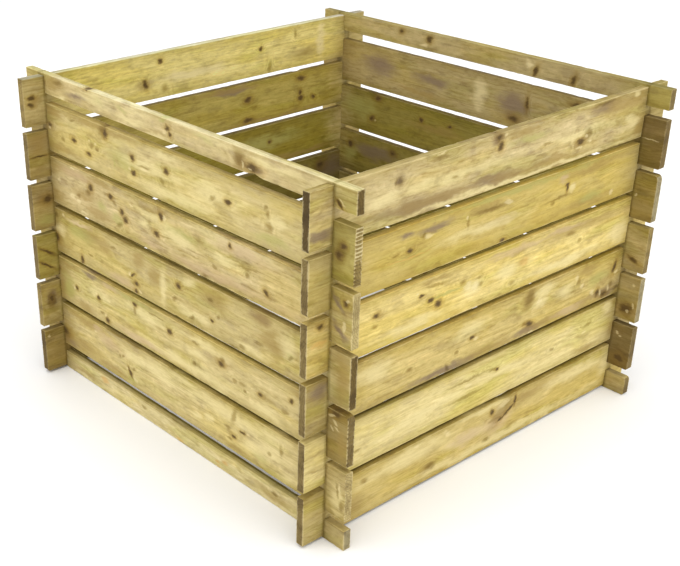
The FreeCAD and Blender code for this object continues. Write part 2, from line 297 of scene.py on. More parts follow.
# Marks on the boards, in mm from the board's middle: (along, up, half length, half height), and then
# by how many degrees a mark leans towards the board's upper edge, where it does.
MARKS = {
    "front_top": {
        # on the tongue, the light mark at 466 along is a painted highlight on a crack, and the dark one at 460
        # below it is partly a bark knot, partly painted shadow
        "dark": ((-270, 21, 9, 3), (2, 4, 8, 6), (10, -7, 5, 5), (243, -8, 19, 8), (460, -12, 11, 3, -42)),
        "soft": ((-432, 0, 7, 18), (209, -1, 14, 14), (-374, 12, 18, 5, 8)),
        "brown": ((209, -2, 18, 17), (-385, 6, 44, 14), (-60, -14, 60, 7), (205, -18, 26, 6)),
        "purple": ((-308, -4, 44, 9, 8), (246, -9, 22, 9)),
        "light": ((220, -9, 3, 8, 10), (-8, -6, 8, 5), (238, -12, 5, 2), (466, -8, 11, 3, -42)),
        "pale": (
            (-365, -16, 16, 5), (-120, -8, 60, 7), (330, 8, 60, 8), (-200, 15, 80, 10), (415, 4, 44, 20),
            (-40, -16, 40, 6), (-215, 8, 84, 18), (-110, 14, 60, 8), (140, 14, 60, 8), (275, 10, 40, 9),
        ),
        "green": ((-225, 5, 30, 10), (-150, 6, 16, 8), (120, 12, 34, 8), (-12, 18, 14, 5)),
    },
    "front_5": {
        "dark": (
            (-420, 7, 8, 5), (-329, -5, 10, 5), (-275, -21, 9, 5, 5), (-210, 38, 8, 10), (-118, 10, 8, 7),
            (-115, -20, 8, 6), (-8, 12, 8, 6, 10), (177, 4, 9, 5), (473, 13, 8, 7), (463, -5, 10, 8),
        ),
        "soft": (
            (-331, 36, 11, 3, 5), (-370, -13, 7, 5), (-262, 0, 9, 6, 15), (-242, -3, 7, 4), (-21, -11, 8, 6),
            (-80, 2, 22, 3, 4), (132, -2, 9, 4, 30), (281, 23, 6, 5), (286, 12, 5, 7), (290, -10, 9, 8),
            (-220, 38, 14, 12), (467, 3, 12, 15),
        ),
        "light": ((-421, 1, 5, 3), (-128, -15, 5, 3), (-270, 8, 4, 3), (-248, 6, 5, 3), (-80, -4, 18, 2, 4)),
        "brown": (
            (-230, 44, 150, 9), (-180, 47, 40, 5), (-436, -10, 12, 36), (-400, 38, 40, 12),
            (-370, -36, 70, 12),
        ),
        "green": ((-184, -15, 7, 22), (300, -34, 60, 12), (-150, 0, 60, 30)),
        "pale": ((-60, 4, 130, 16), (-20, 40, 60, 9), (310, 4, 30, 12), (20, -30, 170, 16), (130, 4, 90, 22)),
    },
    "front_4": {
        "dark": (
            (-277, 22, 9, 8), (-204, 23, 8, 6), (-165, 0, 8, 7), (-153, -13, 10, 8), (-30, 32, 7, 9, 20),
            (-47, -10, 10, 6), (283, -21, 8, 5, -30), (182, 37, 5, 5), (483, 30, 7, 7),
        ),
        "soft": (
            (-288, 9, 9, 7), (-207, 24, 26, 3), (-326, -9, 8, 4), (230, 9, 34, 3, 5), (-20, -8, 26, 2, 4),
            (136, -21, 7, 4), (229, -4, 6, 6), (107, -49, 9, 5), (-190, 12, 10, 5, -30),
            (-175, -30, 10, 5, 20), (232, 8, 6, 4),
        ),
        "light": (
            (-400, 6, 9, 5), (-351, -17, 12, 6), (-328, -23, 9, 5), (-310, -43, 20, 5, 5), (-345, 47, 10, 2),
            (-19, 31, 6, 8), (-130, 25, 8, 3), (488, 36, 4, 4), (481, -14, 4, 12),
        ),
        "green": ((-237, -9, 22, 14), (40, 14, 60, 12), (-180, -20, 20, 12)),
        "pink": ((-330, 36, 60, 12), (150, -36, 170, 14), (-60, -36, 60, 12), (220, 34, 90, 14)),
        "brown": (
            (-240, 44, 60, 5), (-420, -30, 40, 18), (-250, -30, 60, 14), (-340, 36, 90, 9),
            (120, -42, 120, 6), (-300, 0, 50, 14),
        ),
        "purple": ((468, 22, 26, 7, -50), (470, -24, 24, 8, -40)),
        "pale": (
            (20, 0, 60, 14), (-60, 20, 60, 14), (-90, -2, 26, 10), (160, 2, 50, 10), (200, 40, 150, 10),
            (400, 0, 30, 24),
        ),
    },
    "front_3": {
        "dark": (
            (-329, -42, 6, 12), (-126, -28, 8, 6), (-137, -13, 9, 3, 35), (-128, -47, 6, 5), (20, 18, 8, 7),
            (124, -19, 6, 4), (-430, -18, 12, 9),
        ),
        "soft": (
            (-296, -19, 9, 3), (-205, 26, 12, 3), (7, -15, 7, 4, 20), (62, -35, 8, 4, 25),
            (262, -14, 11, 3, 5), (350, -9, 8, 4, 25), (144, -5, 5, 4), (214, -40, 9, 5, 10),
            (190, -50, 12, 4), (-425, 35, 8, 5), (120, 24, 9, 4),
        ),
        "light": ((-148, -14, 6, 5), (-113, -42, 6, 4), (-395, 42, 6, 4)),
        "pale": (
            (-30, -5, 13, 42), (45, 35, 26, 8), (-340, 40, 40, 6), (345, 10, 30, 30), (-410, 4, 26, 20),
            (60, -30, 60, 10), (425, -4, 40, 60), (240, -36, 50, 10),
        ),
        "brown": (
            (267, 40, 36, 22), (-114, 26, 26, 20), (-60, 10, 24, 26), (-280, 22, 90, 18, -4),
            (310, 6, 50, 30), (130, 26, 50, 18), (-425, -10, 26, 40), (480, 0, 20, 50),
        ),
        "purple": ((264, 41, 30, 11),),
        "green": ((350, -5, 20, 6, 10), (-330, 18, 60, 18)),
        "pink": ((-180, -36, 60, 12), (-330, 40, 60, 8)),
    },
    "front_2": {
        "dark": (
            (-273, 2, 7, 6), (-361, -4, 7, 5), (-137, 37, 8, 5), (-15, 20, 8, 7), (-242, -40, 8, 7),
            (151, 14, 9, 7), (267, -5, 7, 5), (353, 21, 6, 5), (470, 47, 16, 7),
        ),
        "soft": (
            (-430, 22, 6, 7), (-137, 23, 5, 10), (-263, -29, 8, 4), (155, 25, 7, 6), (70, 28, 10, 3),
            (-60, 37, 26, 2), (65, -20, 6, 5, 30), (192, -6, 7, 5), (215, -4, 12, 4, 10), (222, -16, 5, 4),
            (337, -9, 10, 5),
        ),
        "light": (
            (-435, 10, 7, 4, 20), (-372, -8, 5, 8), (-249, -31, 7, 4, 35), (231, -14, 4, 3), (-281, 10, 5, 3),
            (458, 39, 9, 3, 20), (468, 28, 8, 3, -30), (460, 14, 6, 3, -50), (472, 18, 7, 2, -30),
        ),
        "purple": ((-302, 46, 34, 8),),
        "green": ((-395, -10, 26, 32), (-150, 44, 90, 7)),
        "pale": (
            (-120, 24, 90, 16), (60, 4, 60, 12), (100, 34, 100, 12), (30, -34, 200, 14), (-270, 8, 60, 12),
            (285, -34, 50, 12),
        ),
        "brown": (
            (150, 26, 50, 16), (-420, -6, 40, 56), (486, -10, 12, 34), (-330, -38, 50, 12),
            (-385, 42, 44, 10), (385, 42, 36, 10),
        ),
        "pink": ((-230, 42, 50, 8), (-120, -40, 90, 9)),
    },
    "front_1": {
        "dark": ((-165, -22, 5, 11, 35), (186, -17, 7, 5), (213, 4, 9, 3, 5), (-430, -19, 20, 12)),
        "soft": (
            (-203, 6, 4, 3, 40), (-190, 10, 7, 3, 35), (-172, -12, 4, 6), (-152, -8, 6, 4), (167, -3, 9, 4),
            (175, -27, 8, 4), (327, 15, 5, 11), (293, -6, 6, 4, 30), (188, 30, 7, 20, -18),
            (479, 6, 3, 16, 10), (490, -22, 5, 10),
        ),
        "light": (
            (-178, -16, 4, 4), (-148, -31, 12, 6, -35), (229, 8, 6, 3, 20), (-296, 29, 6, 5),
            (484, 14, 3, 10),
        ),
        "pale": (
            (70, -19, 18, 8), (-60, 24, 80, 18), (110, -10, 16, 10), (160, 26, 180, 20), (280, -8, 90, 26),
            (-140, 24, 60, 14), (20, 40, 60, 12), (350, -30, 40, 14), (300, 40, 56, 12), (478, -12, 18, 34),
        ),
        "pink": ((-285, 38, 18, 9), (-240, 20, 50, 16)),
        "brown": (
            (192, -41, 40, 8), (-410, -20, 44, 50), (-350, -30, 90, 22), (-240, -38, 60, 12),
            (-340, 38, 90, 12),
        ),
        "purple": ((-402, -40, 40, 10),),
        "green": ((270, -26, 26, 12), (-160, -36, 20, 10)),
    },
    "front_base": {
        "orange": ((-272, 8, 14, 6), (159, 2, 12, 6), (132, -10, 10, 5), (4, -18, 14, 5)),
        "brown": ((-340, -4, 60, 10), (300, 0, 60, 10)),
        "soft": ((310, 4, 8, 4), (-120, 6, 9, 4)),
    },
    "right_6": {
        "dark": ((-36, 45, 9, 6), (-30, 27, 8, 9), (217, -17, 12, 6)),
        "soft": (
            (-292, 22, 10, 10), (-190, 41, 22, 4), (-150, -3, 10, 3), (110, 2, 12, 3), (240, -4, 12, 8),
            (280, 46, 40, 4, 2), (-302, 22, 4, 8),
        ),
        "light": (
            (235, -9, 5, 4), (247, -22, 6, 4), (215, -28, 14, 3), (-18, 46, 5, 4), (-190, 49, 12, 2, 5),
        ),
        "purple": (
            (-240, -31, 140, 12), (-44, -31, 90, 12), (-292, 22, 13, 13), (-38, 42, 20, 14),
            (-475, -29, 34, 9), (285, 37, 46, 12),
        ),
        "brown": (
            (350, 34, 90, 20), (-210, -30, 160, 13), (110, -34, 130, 8), (40, 40, 60, 10), (-10, -32, 60, 12),
            (-395, -34, 30, 10), (425, -30, 26, 16),
        ),
        "pale": (
            (0, -47, 420, 5), (190, 0, 8, 25), (-330, 0, 40, 14), (390, 44, 10, 9), (-120, 0, 180, 12),
            (200, 2, 90, 12), (385, -12, 26, 14),
        ),
        "green": ((60, 24, 70, 10),),
    },
    "right_5": {
        "dark": ((-257, 2, 7, 4), (192, 19, 6, 4), (193, 11, 4, 8), (2, -48, 8, 4)),
        "soft": (
            (-292, 3, 9, 3), (-103, 14, 4, 10), (150, -11, 7, 4), (165, -4, 40, 3, 2), (-222, 22, 6, 5),
            (-35, 26, 44, 5),
        ),
        "light": ((-107, 25, 4, 4), (12, 27, 14, 5, -10), (-210, 18, 12, 5), (348, -34, 8, 7)),
        "purple": ((-190, 32, 62, 9), (-265, 34, 26, 8)),
        "brown": (
            (-55, 29, 60, 9), (270, 36, 110, 12), (260, -36, 110, 12), (-20, -4, 60, 9), (-410, 14, 30, 26),
        ),
        "pink": ((180, 34, 18, 9),),
        "green": ((60, 46, 300, 7), (275, -26, 40, 12)),
        "pale": ((206, 8, 12, 12), (-60, -6, 120, 12)),
        "orange": ((-265, -9, 60, 3),),
    },
    "right_4": {
        "dark": ((-334, 18, 8, 5), (-217, 20, 7, 3), (-192, 3, 8, 5), (-170, -10, 9, 8), (-470, 40, 7, 6)),
        "soft": (
            (-336, -3, 8, 4), (-105, 12, 8, 6), (-58, 10, 9, 3), (-52, -5, 7, 5), (-180, 31, 32, 3, -4),
            (-163, 29, 6, 4), (258, -1, 7, 4), (225, 23, 14, 5), (45, -32, 10, 5),
        ),
        "light": ((-229, 27, 4, 3), (-90, 2, 12, 10), (-66, -6, 12, 10)),
        "orange": ((85, 0, 8, 3), (75, 6, 16, 10), (-470, 10, 22, 5)),
        "pink": ((60, 36, 110, 9), (200, 38, 80, 7)),
        "brown": ((60, 28, 34, 7), (-170, 42, 60, 5), (260, 32, 180, 14)),
        "pale": (
            (25, 0, 34, 20), (-72, -4, 30, 18), (-260, -30, 100, 14), (200, -34, 160, 10), (400, -20, 40, 30),
        ),
        "green": ((-150, 5, 62, 4),),
    },
    "right_3": {
        "dark": (
            (-62, 0, 7, 4), (118, -29, 13, 6, -15), (350, -30, 6, 9), (376, -40, 13, 7),
            (403, 16, 6, 14, -20),
        ),
        "soft": (
            (-237, -8, 7, 5), (-105, -18, 5, 4), (-130, -42, 4, 10, 30), (278, 17, 7, 8, -30),
            (103, -24, 9, 5), (112, 30, 14, 20, -20), (398, -22, 8, 7), (420, -38, 12, 6),
        ),
        "light": (
            (-48, -6, 10, 4, -10), (330, -23, 8, 7), (361, -33, 4, 10), (390, -30, 5, 8), (290, 4, 7, 7),
            (269, 28, 9, 9), (145, 13, 12, 8, 20), (411, 2, 7, 5), (126, -50, 9, 3),
        ),
        "purple": ((-150, -45, 110, 9), (372, -36, 60, 14), (110, -42, 60, 9), (-470, 30, 30, 24)),
        "brown": (
            (108, 28, 26, 24, -20), (310, 36, 40, 12), (0, -40, 80, 12), (180, -40, 90, 10),
            (300, -38, 44, 12),
        ),
        "pale": (
            (165, 34, 32, 14), (150, 8, 26, 14), (-330, 16, 50, 30), (-70, 16, 60, 22), (-424, 0, 32, 48),
            (230, 10, 40, 20),
        ),
        "green": ((350, 8, 46, 20),),
        "pink": ((250, -40, 60, 9),),
    },
    "right_2": {
        "dark": ((28, 16, 5, 3),),
        "soft": (
            (16, 18, 16, 3, -4), (330, 16, 14, 4, 5), (209, -2, 8, 3), (-368, -14, 10, 4, 5),
            (-60, 22, 60, 3), (-60, -14, 60, 4),
        ),
        "light": ((322, 2, 10, 4), (-60, 8, 14, 4)),
        "pale": ((-200, -6, 130, 12, 4), (60, 6, 120, 12), (395, 36, 20, 8)),
        "brown": ((340, -40, 60, 9), (430, -20, 24, 30), (-475, 20, 30, 5), (-475, -14, 30, 4)),
    },
    "right_1": {
        "dark": ((101, 33, 4, 11, -8), (80, 15, 24, 4, 32), (55, 3, 8, 4, 30), (27, 31, 6, 8, 20)),
        "soft": ((60, 24, 38, 16, 40), (-158, -22, 14, 9), (15, -30, 10, 4), (-345, 26, 10, 5)),
        "light": ((65, 38, 20, 8, 10), (-200, 42, 12, 3), (-112, 36, 12, 7, -30)),
        "pale": (
            (60, 30, 26, 12, 30), (320, 26, 120, 18), (-220, 26, 140, 22), (-20, 0, 90, 14),
            (60, -38, 380, 10), (0, 46, 100, 8), (420, 14, 26, 34),
        ),
        "brown": ((-165, -22, 30, 12), (140, 30, 80, 16), (-380, -20, 50, 30)),
        "pink": ((-40, 0, 60, 18), (40, 0, 60, 30)),
    },
    "left_6": {
        "dark": (
            (145, 32, 7, 6), (188, -14, 6, 11, -20), (-153, 12, 6, 5), (481, 9, 8, 5), (484, -5, 8, 5, 20),
        ),
        "soft": ((135, -32, 9, 9), (-182, -36, 6, 14, 10), (-265, 30, 5, 12)),
        "brown": ((190, -14, 30, 14), (-300, -20, 60, 16), (470, 0, 14, 14)),
        "pale": ((-350, 0, 16, 44), (60, -10, 120, 14)),
    },
    "left_5": {
        "dark": (
            (-285, 34, 14, 6), (-283, -2, 6, 8), (-286, -17, 9, 7), (-328, -20, 8, 5, 20),
            (-113, 11, 11, 7, -15), (-113, -40, 16, 6), (476, -2, 24, 2),
        ),
        "purple": ((-60, 40, 60, 10),),
        "brown": ((-30, 44, 110, 7), (-200, -46, 160, 7), (474, 26, 30, 22)),
    },
    "left_4": {
        "dark": ((-183, 8, 6, 5), (462, 16, 14, 9)),
        "brown": ((-300, -42, 160, 9), (466, 16, 26, 16)),
        "green": ((-160, 10, 150, 22), (470, -30, 26, 14)),
    },
    "left_3": {
        "dark": ((-360, 26, 16, 12), (-300, 10, 10, 14), (474, 10, 22, 3, 35), (478, -22, 22, 3, 35)),
        "purple": ((-400, 10, 60, 40), (-250, 20, 60, 20)),
    },
    "left_2": {
        "dark": ((474, 12, 6, 10), (-120, 20, 9, 6), (140, -10, 8, 6)),
        "soft": ((474, 2, 12, 22), (-320, -20, 12, 6), (260, 30, 12, 5)),
        "purple": ((472, 14, 16, 20),),
    },
    "left_1": {
        "dark": ((-60, -14, 10, 8), (330, 20, 8, 6)),
        "soft": ((180, 10, 14, 6), (-300, 24, 14, 6)),
        "light": ((490, 38, 5, 4),),
        "brown": ((420, -10, 60, 34),),
    },
    "back_top": {
        "dark": ((232, 11, 9, 6, -30), (143, 6, 10, 8, -30), (-168, -8, 6, 13, 20), (-268, -8, 6, 13, 20)),
        "pale": ((158, -12, 12, 5), (-150, 4, 10, 12)),
    },
    "back_5": {
        "dark": ((-120, -30, 16, 8), (-285, 34, 18, 7), (-155, 10, 5, 16)),
        "purple": ((-120, 0, 50, 34), (130, 6, 60, 16), (300, 10, 60, 30)),
        "pale": ((-20, 0, 22, 40),),
        "brown": ((160, -30, 90, 9),),
        "light": ((-472, 6, 24, 2),),
    },
    "back_4": {
        "dark": ((300, 43, 12, 8), (152, 20, 7, 6), (318, -13, 10, 7, -30), (60, 24, 8, 4)),
        "pale": ((308, -18, 5, 4),),
        "green": ((360, 10, 60, 30),),
        "brown": ((110, 6, 90, 12),),
        "light": ((-456, 0, 3, 4),),
    },
    "back_3": {
        "dark": ((240, 30, 12, 7), (390, 20, 9, 9), (-472, -26, 14, 5, 20)),
        "purple": ((300, 16, 90, 26),),
        "green": ((390, -6, 26, 26),),
    },
    "back_2": {
        "dark": ((-474, -24, 18, 14), (200, 14, 9, 7), (-160, -20, 8, 6)),
        "soft": ((60, 26, 12, 5), (-320, 10, 12, 6)),
        "light": ((-478, -30, 4, 5), (-486, 34, 4, 4), (-490, -14, 3, 8)),
    },
    "back_1": {
        "dark": ((-250, 16, 9, 6), (110, -18, 9, 7), (-476, -30, 16, 14)),
        "soft": ((300, 20, 14, 5), (-80, 34, 14, 5)),
        "light": ((-462, 30, 4, 3), (-470, 24, 4, 3)),
    },
}


# Materials

class Wire:
    """A socket of a finish. Arithmetic on it adds the nodes that work it out."""

    def __init__(self, finish, socket):
        self.finish = finish
        self.socket = socket

    def __add__(self, other):
        return self.finish.arithmetic("ADD", self, other)

    def __radd__(self, other):
        return self.finish.arithmetic("ADD", other, self)

    def __sub__(self, other):
        return self.finish.arithmetic("SUBTRACT", self, other)

    def __rsub__(self, other):
        return self.finish.arithmetic("SUBTRACT", other, self)

    def __mul__(self, other):
        return self.finish.arithmetic("MULTIPLY", self, other)

    def __rmul__(self, other):
        return self.finish.arithmetic("MULTIPLY", other, self)

    def __truediv__(self, other):
        return self.finish.arithmetic("DIVIDE", self, other)

    def __rtruediv__(self, other):
        return self.finish.arithmetic("DIVIDE", other, self)

    def __abs__(self):
        return self.finish.arithmetic("ABSOLUTE", self)


def is_vector(term):
    """True for a vector's or a colour's wire, and for a tuple."""
    if isinstance(term, Wire):
        return term.socket.type in ("VECTOR", "RGBA")
    return isinstance(term, tuple)


class Finish:
    """A material being made: every method adds nodes and returns the wire that comes out."""

    def __init__(self, name):
        self.material = bpy.data.materials.new(name)
        self.material.use_nodes = True
        self.tree = self.material.node_tree
        self.tree.nodes.clear()

    def node(self, kind, settings=None, sockets=None, output=0):
        """Adds a node with these settings and socket values or links. Returns the wire out of it."""
        node = self.tree.nodes.new(kind)
        for name, value in (settings or {}).items():
            setattr(node, name, value)
        for key, value in (sockets or {}).items():
            if isinstance(value, Wire):
                self.tree.links.new(value.socket, node.inputs[key])
            else:
                node.inputs[key].default_value = value
        return Wire(self, node.outputs[output]) if node.outputs else None

    def arithmetic(self, operation, *terms):
        """A Math node, or a Vector Math node where a term is a vector or a colour."""
        kind = "ShaderNodeMath"
        if any(is_vector(term) for term in terms):
            kind = "ShaderNodeVectorMath"
            terms = [(term,) * 3 if isinstance(term, (int, float)) else term for term in terms]
        return self.node(kind, {"operation": operation}, dict(enumerate(terms)))

    def smaller(self, first, second):
        """The smaller of two values."""
        return self.arithmetic("MINIMUM", first, second)

    def larger(self, first, second):
        """The larger of two values."""
        return self.arithmetic("MAXIMUM", first, second)

    def wave(self, value):
        """A sine that goes once round for each 1 of the value, from -1 to 1."""
        return self.arithmetic("SINE", value * (2 * math.pi))

    def parts(self, vector):
        """The X, Y and Z of a vector."""
        split = self.node("ShaderNodeSeparateXYZ", sockets={0: vector})
        return [Wire(self, output) for output in split.socket.node.outputs]

    def fade(self, value, nothing, full):
        """0 where the value is nothing, 1 where it is full, and smooth between them."""
        settings = {"interpolation_type": "SMOOTHSTEP"}
        return self.node("ShaderNodeMapRange", settings, {0: value, 1: nothing, 2: full})

    def grain(self, place, cells, detail, roughness=0.5):
        """Noise from 0 to 1, mostly near 0.5, whose patches are these many mm each way."""
        sockets = {"Vector": place / cells, "Scale": 1.0, "Detail": detail, "Roughness": roughness}
        return self.node("ShaderNodeTexNoise", sockets=sockets)

    def jitter(self, place, cells, reach):
        """A vector of noise that moves a place by up to about this many mm."""
        sockets = {"Vector": place / cells, "Scale": 1.0, "Detail": 2.0}
        noise_colour = self.node("ShaderNodeTexNoise", sockets=sockets, output="Color")
        return (noise_colour - (0.5, 0.5, 0.5)) * (2.0 * reach)

    def mix(self, share, first, second, blend="MIX"):
        """The first colour, covered by this share of the second."""
        settings = {"data_type": "RGBA", "blend_type": blend}
        return self.node("ShaderNodeMix", settings, {0: share, 6: first, 7: second}, 2)

    def close(self, sockets):
        """Joins a surface with these sockets to the output and returns the material."""
        surface = self.node("ShaderNodeBsdfPrincipled", sockets=sockets)
        self.node("ShaderNodeOutputMaterial", sockets={"Surface": surface})
        return self.material


# Sizes of the finish, in mm
CROSSING = 53            # from a board's end to the face of the board that crosses it
TREE_REACH = 5000        # how far apart in the noise the boards' pieces of tree may lie
RELIEF = 0.6             # how far the roughest fibres stand out
RING_WIDTHS = (4.2, 6.2)
HEART_HEIGHTS = (-30, 30)
HEART_DEPTHS = (26, 70)  # from the board's middle to the tree's heart, on either side
RING_BEND = 40
RING_WAVER = 12
KNOT_SWELL = 9.0         # how far a knot pushes the rings apart
INSIDE_SHADE_HEIGHT = 340        # how high above the ground the painted shade inside reaches
MARK_MARGIN = 30         # random marks keep this far from a board's ends
TOP_BAND = (2.5, 0.8)    # how far in from its plane the coat of a top or an underside fades
ARRIS_BAND = (5.0, 1.5)  # and the soak and painted shade along an arris

# How far the heart drifts for each mm along the board
DRIFTS_UP = (-0.02, 0.02)
DRIFTS_DEEP = (-0.035, 0.035)

# How much of the edge soak and painted shade shows, for each mm of a board's half height
EDGE_SOAK_AND_SHADE_SHARE = 0.0115

FLAT = (1.0, 0.0, 1.0)   # takes the depth out of a place on the board
NO_MARKS = ((0, 900, 1, 1),)   # a mark too far off to show
COMBED_END = "front_5"

# Marks of the one board that has none in the table: kind, how many, half lengths, half heights, lean
RANDOM_MARKS = (
    ("dark", 3, (5, 11), (5, 10), 40), ("soft", 2, (6, 16), (3, 8), 30),
    ("brown", 3, (40, 120), (8, 20), 4),
)


def random_marks(board, chance):
    """Marks that lie anywhere on a board."""
    reach = board.half_length - MARK_MARGIN
    return {
        kind: tuple(
            (chance.uniform(-reach, reach), chance.uniform(-board.half_height, board.half_height),
             chance.uniform(*half_lengths), chance.uniform(*half_heights), chance.uniform(-lean, lean))
            for _ in range(count)
        )
        for kind, count, half_lengths, half_heights, lean in RANDOM_MARKS
    }


class TreatedPine(Finish):
    """Rough-sawn pine, laid on coat by coat. wood is the colour so far."""

    def __init__(self, board):
        super().__init__(f"treated_pine_{board.name}")
        self.board = board
        self.chance = random.Random(board.name)
        self.marks = MARKS.get(board.label) or random_marks(board, self.chance)

        # A place on the board in its own millimetres, and how far it is from the board's outsides
        self.place = self.node("ShaderNodeMapping", {"vector_type": "POINT"}, {
            "Vector": self.node("ShaderNodeTexCoord", output="Object"),
            "Location": tuple(-board.middle),
            "Rotation": (0.0, 0.0, -board.turn),
            "Scale": (1 / MM,) * 3,
        })
        own_piece_of_tree = tuple(self.chance.uniform(-TREE_REACH, TREE_REACH) for _ in range(3))
        self.field = self.place + own_piece_of_tree
        self.along, self.through, self.up = self.parts(self.place)
        self.from_end = board.half_length - abs(self.along)
        self.from_edge = board.half_height - abs(self.up)
        self.from_face = board.half_thick - abs(self.through)
        past_crossing = self.fade(self.from_end, CROSSING, CROSSING + 20)
        self.inside = self.fade(self.through, -1.0, 5.0) * past_crossing

        # Noise at the sizes that sawn wood shows
        self.cloud = self.grain(self.field, (190, 60, 40), 3)
        self.pool = self.grain(self.field + (900, 0, 0), (260, 90, 60), 3, 0.6)
        self.mottle = self.grain(self.field + (0, 900, 0), (60, 30, 26), 4, 0.6)
        self.streak = self.grain(self.field, (130, 7, 5), 3, 0.62)
        self.fibre = self.grain(self.field, (30, 1.6, 1.6), 2, 0.6)
        self.fleck = self.grain(self.field + (0, 0, 900), (22, 8, 7), 3, 0.6)
        self.speckle = self.grain(self.field, (6, 3.2, 3.2), 2, 0.7)

        self.flat = (self.place + self.jitter(self.field, (14, 12, 9), 4.5)) * FLAT
        self.dark_knots = self.nearest("dark", self.flat)
        self.soft_knots = self.nearest("soft", self.flat)
        self.latewood = self.dark_rings()
        self.wood = self.soaked_and_shaded_wood()

    def mark_distance(self, flat, along, up, half_length, half_height, lean=0):
        """0 at a mark's middle and 1 on its outline."""
        own = self.node("ShaderNodeMapping", {"vector_type": "TEXTURE"}, {
            "Vector": flat,
            "Location": (along, 0.0, up),
            "Rotation": (0.0, -math.radians(lean), 0.0),
            "Scale": (half_length, 1.0, half_height),
        })
        return self.node("ShaderNodeVectorMath", {"operation": "LENGTH"}, {0: own}, "Value")

    def nearest(self, kind, flat):
        """The distance to the nearest mark of a kind."""
        distances = [self.mark_distance(flat, *mark) for mark in self.marks.get(kind, NO_MARKS)]
        return functools.reduce(self.smaller, distances)

    def off_middle(self, grain, reach):
        """A grain as a number on either side of 0."""
        return (grain - 0.5) * reach

    def ragged(self, mottle_reach, streak_reach):
        """What makes an outline ragged when it is added to the distance from it."""
        return self.off_middle(self.mottle, mottle_reach) + self.off_middle(self.streak, streak_reach)

    def outermost(self, value, half, inner, outer):
        """1 at an outside of the board, fading to 0 between outer and inner mm in from it."""
        return self.fade(value, half - inner, half - outer)

    def glaze(self, share, tint_colour):
        """Multiplies this share of the wood by a tint."""
        self.wood = self.mix(share, self.wood, tint_colour, "MULTIPLY")

    def glaze_where(self, wire, nothing, full, strength, tint_colour):
        """Glazes the places where a wire goes from the level nothing to the level full."""
        self.glaze(self.fade(wire, nothing, full) * strength, tint_colour)

    def cover(self, share, colour):
        """Lays this share of a colour over the wood."""
        self.wood = self.mix(share, self.wood, colour)

    def dark_rings(self):
        """1 in the dark wood of the rings, which swell round the knots, and 0 between them."""
        heart_up = self.chance.uniform(*HEART_HEIGHTS)
        heart_depth = self.chance.choice((-1, 1)) * self.chance.uniform(*HEART_DEPTHS)
        drift_up = self.chance.uniform(*DRIFTS_UP)
        drift_depth = self.chance.uniform(*DRIFTS_DEEP)
        rise = self.up - heart_up + self.along * drift_up + self.off_middle(self.cloud, RING_BEND)
        depth = self.through - heart_depth + self.along * drift_depth
        waver = self.off_middle(self.mottle, RING_WAVER)
        swell = self.fade(self.smaller(self.dark_knots, self.soft_knots), 3.4, 0.6) * KNOT_SWELL
        radius = self.arithmetic("SQRT", rise * rise + depth * depth) + waver + swell
        ring = self.wave(radius / self.chance.uniform(*RING_WIDTHS)) * 0.5 + 0.5
        return self.fade(ring, 0.35, 1.0)

    def soaked_and_shaded_wood(self):
        """The board's tone outside and inside, covered near its ends: partly the treatment soaked up, partly
        painted shade of the corners.
        """
        label = self.board.label
        # darker near the ends: partly soak, partly painted shade of the crossings
        end_soak_and_shade = self.fade(self.from_end + self.ragged(110, 90), 150, 40)
        end_tone = self.mix(self.fade(self.along, -10, 10), *SOAKED_AND_SHADED_ENDS[label])
        tone = self.mix(self.inside, TONES.get(label, STRAW), INSIDE_TONES_AND_SHADE.get(label, PEAT))
        return self.mix(end_soak_and_shade * 0.9, tone, end_tone)

    def lay_grain(self):
        """Edges soaked and darkened with painted shade, rings, streaks and patches of other casts."""
        lively = LIVELY.get(self.board.label, 1.0)
        # darker near the upper and lower edges: partly soak, partly painted shade of the gaps
        edge_soak_and_shade = self.fade(self.from_edge + self.ragged(44, 26), 22, 2)
        self.glaze(edge_soak_and_shade * (self.board.half_height * EDGE_SOAK_AND_SHADE_SHARE), EDGE_SOAK_AND_SHADE)
        self.glaze(self.latewood * self.fade(self.cloud, 0.25, 0.7) * 0.5, RING)
        self.glaze_where(self.streak, 0.5, 0.72, 0.6 * lively, STREAK)
        self.glaze_where(self.streak, 0.48, 0.28, 0.6 * lively, PALER_WOOD_AND_LIGHT)
        self.glaze_where(self.pool, 0.46, 0.62, 0.7, GOLDEN)
        self.glaze_where(self.cloud, 0.48, 0.7, 0.8, GREEN_CAST)
        self.glaze_where(self.mottle, 0.5, 0.68, 0.8 * lively, GREY_CAST)
        self.glaze_where(self.mottle, 0.47, 0.3, 0.7 * lively, PALER_WOOD_AND_LIGHT)
        self.glaze_where(self.fleck, 0.5, 0.7, 0.5 * lively, STREAK)
        self.glaze_where(self.fleck, 0.48, 0.3, 0.45 * lively, PALER_WOOD_AND_LIGHT)

    def lay_stains(self):
        """The stains among the board's marks."""
        smudge = self.flat + self.jitter(self.field, (60, 30, 18), 12.0) * FLAT
        for stain, (colour, strength) in STAINS.items():
            if stain in self.marks:
                distance = self.nearest(stain, smudge) + self.ragged(1.6, 0.8)
                self.cover(self.fade(distance, 1.3, 0.2) * strength, colour)

